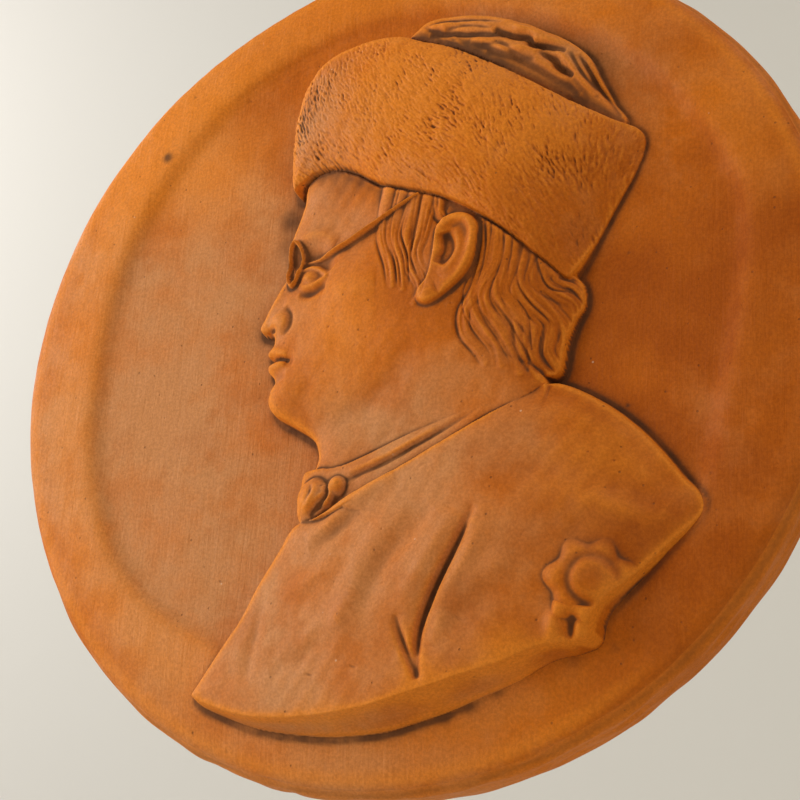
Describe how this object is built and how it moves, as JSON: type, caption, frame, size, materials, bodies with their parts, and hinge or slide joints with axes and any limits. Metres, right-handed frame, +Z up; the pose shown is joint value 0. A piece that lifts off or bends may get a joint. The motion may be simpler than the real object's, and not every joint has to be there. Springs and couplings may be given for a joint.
{
  "type": "relief roundel",
  "caption": "Round terracotta wall relief with a raised border and a profile bust in a fur-brimmed cap, spectacles, neckcloth and coat, with a flat back.",
  "frame": {"origin": "centre of the flat back face, on the wall it hangs on", "axes": "+Z is up, -Y is the way the relief looks out from the wall, and the bust looks towards -X"},
  "size_m": [0.115, 0.0156, 0.115],
  "materials": {
    "clay": "matte fired terracotta, orange-brown"
  },
  "bodies": {
    "root": {"roundel": "clay"}
  },
  "joints": []
}
